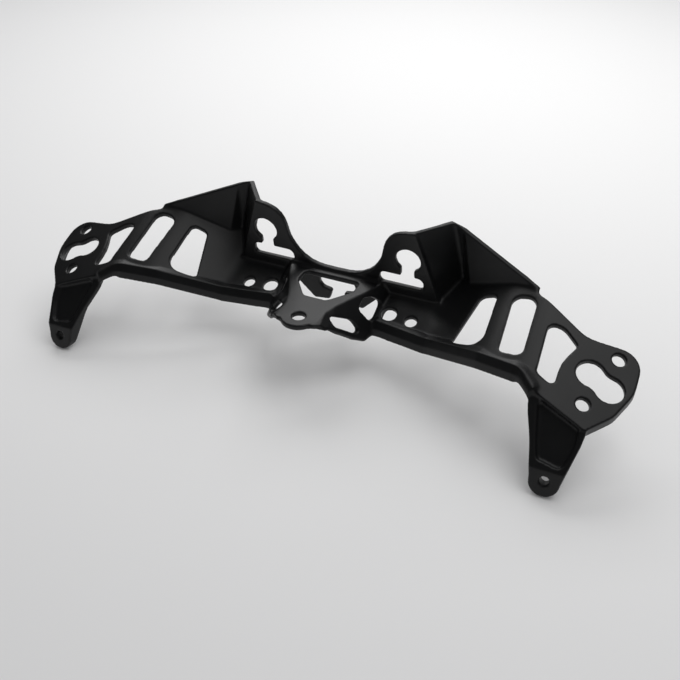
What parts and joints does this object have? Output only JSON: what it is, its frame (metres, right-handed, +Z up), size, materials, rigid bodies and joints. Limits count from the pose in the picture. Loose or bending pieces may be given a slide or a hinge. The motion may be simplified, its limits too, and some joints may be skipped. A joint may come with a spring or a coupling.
{
  "type": "motorcycle fairing stay",
  "caption": "One-piece cast bracket that carries a motorcycle's front cowl and mirrors: sloping pierced wings, two legs, a nose tab and folded ear plates.",
  "frame": {"origin": "the centre of the nose tab's bore, level with the tab's upper face, in the plane of symmetry", "axes": "+Z up as the part sits on the bike, -Y towards the front where the nose and legs point, +X across towards the viewer's right in the picture"},
  "size_m": [0.4234, 0.124, 0.1015],
  "materials": {
    "casting": "satin black paint over a die casting"
  },
  "bodies": {
    "root": {"fairing_stay": "casting"}
  },
  "joints": []
}
